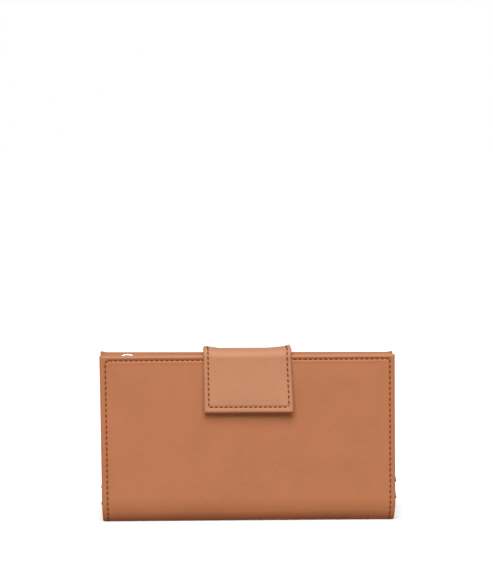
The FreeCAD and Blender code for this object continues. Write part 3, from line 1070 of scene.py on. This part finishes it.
def zip_tape(name, node, wall_node, towards):
    """Woven tape: sewn down inside the pocket wall, then turned over to the teeth,
    with a thick corded edge."""
    off_wall, sewn_down, turn, short = 0.12, 8.0, 1.2, 0.35
    cord, cord_at, cord_width = 0.28, 0.7, 0.5
    unevenness, seed = 0.04, 80
    low, high = cad_box(node)
    wall_low, wall_high = cad_box(wall_node)
    wall = wall_high[1] if towards > 0 else wall_low[1]
    inner = low[1] if towards < 0 else high[1]
    flat_z = high[2]
    start = wall + towards * off_wall
    turned = start + towards * turn
    points = line((start, flat_z - sewn_down), (start, flat_z - turn))
    points += corner_to_y((start, flat_z - turn), (turned, flat_z), power=2)[1:]
    points += line((turned, flat_z), (inner + towards * short, flat_z))[1:]
    path = Path(points, 1 if towards > 0 else -1)

    def relief(x, s):
        corded = cord * np.exp(-((path.length - s - cord_at) / cord_width) ** 2)
        return corded + waves(x, s, unevenness, seed)
    sheet = Sheet(path, TAPE_HALF, 0, path.length, TAPE_THICK, relief, round_low=True,
                  corner_radius=0.5)
    piece = sheet.build(name, step_x=3, step_s=0.7, fine=0.3, fine_width=1.8)
    finish_piece(piece, TAPE, "zip_tape", node)
    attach(piece, "back")
    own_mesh(piece)
    return wall


def squared(angle, power):
    """The point at an angle on a rounded square whose half width is 1."""
    c, s = math.cos(angle), math.sin(angle)
    return math.copysign(abs(c) ** power, c), math.copysign(abs(s) ** power, s)


def zip_teeth(name, node, towards, pitch=2.5, thick=1.0):
    """A row of metal teeth, each with a narrow neck and a rounded head."""
    low, high = cad_box(node)
    root = low[1] if towards > 0 else high[1]
    length = high[1] - low[1]
    middle_z = (low[2] + high[2]) / 2
    tall = (high[2] - low[2]) / 2
    count = int(round((high[0] - low[0] - thick) / pitch)) + 1
    # Along a tooth from its root: how far out, how wide and how tall, as shares.
    stations = ((0.0, 0.30, 0.70), (0.10, 0.50, 1.0), (0.48, 0.46, 0.95), (0.62, 0.40, 0.85),
                (0.78, 0.60, 0.95), (0.93, 0.52, 0.85), (1.0, 0.26, 0.5))
    sides, roundness = 12, 0.6
    points, faces = [], []
    for k in range(count):
        x = low[0] + thick / 2 + k * pitch
        base = len(points)
        for share, wide, high_share in stations:
            for j in range(sides):
                u, v = squared(2 * math.pi * (j + 0.5) / sides, roundness)
                points.append((x + u * wide * thick, root + towards * share * length,
                               middle_z + v * tall * high_share))
        faces += tube_faces(base, len(stations), sides)
    piece = mesh_object(name, points, faces, 60)
    finish_piece(piece, NICKEL, "zip_metal", node)
    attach(piece, "back")
    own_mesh(piece)


front_wall = zip_tape("tape_front", "zip_tape_front", "coin_pocket_front", 1)
back_wall = zip_tape("tape_back", "zip_tape_back", "coin_pocket_back", -1)
zip_teeth("teeth_front", "zip_teeth_front", 1)
zip_teeth("teeth_back", "zip_teeth_back", -1)


def sweep(name, points, sideways, wide, tall, power=3.2, sides=20):
    """A bar with a rounded section swept along a line; sideways is its constant side axis."""
    points = np.array(points, float)
    forward = np.gradient(points, axis=0)
    forward /= np.linalg.norm(forward, axis=1)[:, None]
    sideways = np.array(sideways, float)
    up = np.cross(sideways, forward)
    rings = []
    for k, point in enumerate(points):
        for j in range(sides):
            u, v = squared(2 * math.pi * j / sides, 2 / power)
            rings.append(point + sideways * (u * wide / 2) + up[k] * (v * tall / 2))
    return mesh_object(name, rings, tube_faces(0, len(points), sides), 40)


def crown():
    """The slider's bridge, an arch that the puller hangs from."""
    low, high = cad_box("zip_slider_crown")
    middle = (low + high) / 2
    bar, wider, sunk, power, steps = 1.15, 0.75, 0.3, 2.4, 41
    half = (high[0] - low[0]) / 2 + wider
    top = high[2] - bar / 2
    foot = low[2] - sunk
    arch = []
    for angle in np.linspace(math.pi, 0, steps):
        u, v = squared(angle, 2 / power)
        arch.append((middle[0] + u * half, middle[1], foot + v * (top - foot)))
    piece = sweep("slider_arch", arch, (0, 1, 0), high[1] - low[1], bar)
    finish_piece(piece, NICKEL, "zip_metal", "zip_slider_crown")
    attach(piece, "zip_slider")


crown()


# ---------------------------------------------------------------- carried-over CAD nodes

def soften(piece, width, angle=35):
    """Rounds a metal node's sharp edges with modifiers, so its mesh stays as it is."""
    same_point = 0.002 * MM
    weld = piece.modifiers.new("weld", "WELD")
    weld.merge_threshold = same_point
    bevel = piece.modifiers.new("bevel", "BEVEL")
    bevel.width = width * MM
    bevel.segments = 3
    bevel.limit_method = "ANGLE"
    bevel.angle_limit = math.radians(angle)
    bevel.harden_normals = True


finishes = {"zip_metal": NICKEL, "snap_metal": SNAP}
slot_of = {row["node"]: row["material_slot"] for row in frame["record"]["subparts"]}
for node, piece in frame["nodes"].items():
    if not piece.hide_render:
        paint(piece, finishes[slot_of[node]])
for node, width in (("zip_slider_body", 0.5), ("zip_puller", 0.3), ("zip_stops", 0.2),
                    ("snap_stud", 0.25), ("snap_socket", 0.25)):
    soften(frame["nodes"][node], width)


# ---------------------------------------------------------------- stage, light and camera

# The floor lies just under the fold, whose lowest edge its shape lifts a little.
FLOOR_SIZE = 40
FLOOR_HEIGHT = 0.0002


def floor():
    bpy.ops.mesh.primitive_plane_add(size=FLOOR_SIZE, location=(0, 0, FLOOR_HEIGHT))
    plane = bpy.context.object
    plane.name = "floor"
    material, tree, shader, coords = new_material("floor")
    cloud = noise(tree, coords, size_mm=400, detail=2, roughness=0.5)
    tone = ramp(tree, cloud, [(0.0, (0.86,) * 3), (1.0, (0.88,) * 3)])
    tree.links.new(tone, shader.inputs["Base Color"])
    shader.inputs["Roughness"].default_value = 0.9
    shader.inputs["Specular IOR Level"].default_value = 0.1
    paint(plane, material)
    plane.visible_diffuse = False
    plane.visible_glossy = False


def direction(azimuth, elevation):
    """The direction away from the wallet: azimuth 0 is its front, elevation 90 straight up."""
    a, e = math.radians(azimuth), math.radians(elevation)
    return Vector((math.sin(a) * math.cos(e), -math.cos(a) * math.cos(e), math.sin(e)))


def sun(name, azimuth, elevation, strength, angle):
    """A large, far softbox: even light over the whole floor, with soft shadows."""
    data = bpy.data.lights.new(name, "SUN")
    data.energy = strength
    data.angle = math.radians(angle)
    lamp = bpy.data.objects.new(name, data)
    away = direction(azimuth, elevation)
    lamp.location = away
    lamp.rotation_mode = "QUATERNION"
    lamp.rotation_quaternion = (-away).to_track_quat("-Z", "Y")
    bpy.context.scene.collection.objects.link(lamp)


def world(below, horizon, above):
    """A studio that is bright at the horizon, dimmer overhead, and dim and warm below."""
    studio = bpy.data.worlds.new("studio")
    studio.use_nodes = True
    tree = studio.node_tree
    coords = tree.nodes.new("ShaderNodeTexCoord")
    split = tree.nodes.new("ShaderNodeSeparateXYZ")
    tree.links.new(coords.outputs["Generated"], split.inputs[0])
    height = spread_value(tree, split.outputs["Z"], -1, 1, 0, 1)
    tone = ramp(tree, height, [(0.46, below), (0.487, horizon), (0.53, horizon), (0.56, above)])
    tree.links.new(tone, tree.nodes["Background"].inputs[0])
    bpy.context.scene.world = studio


VIEW_AZIMUTH = -0.98
VIEW_ELEVATION = 6.53
VIEW_DISTANCE = 1.7756
VIEW_TARGET = Vector((0, 0, 0.0515))
AIM_ABOVE = 3.06
VIEW_ROLL = 0.30
LENS = 176.3


def camera():
    data = bpy.data.cameras.new("camera")
    data.sensor_width = 36
    data.lens = LENS
    data.clip_start, data.clip_end = 0.05, 50
    eye = bpy.data.objects.new("camera", data)
    back = direction(VIEW_AZIMUTH, VIEW_ELEVATION)
    forward = -back
    right = forward.cross(Vector((0, 0, 1))).normalized()
    up = right.cross(forward)
    tilt = Matrix.Rotation(math.radians(AIM_ABOVE), 3, right)
    forward, up = tilt @ forward, tilt @ up
    roll = Matrix.Rotation(math.radians(VIEW_ROLL), 3, forward)
    right, up = roll @ right, roll @ up
    turn = Matrix((right, up, -forward)).transposed()
    eye.matrix_world = Matrix.Translation(VIEW_TARGET + back * VIEW_DISTANCE) @ turn.to_4x4()
    bpy.context.scene.collection.objects.link(eye)
    bpy.context.scene.camera = eye


floor()
world(below=(0.46, 0.31, 0.22), horizon=(1.0, 1.0, 1.0), above=(0.62, 0.62, 0.62))
sun("key", azimuth=-3, elevation=48, strength=4.0, angle=44)
camera()
bpy.context.scene.view_settings.view_transform = "Standard"
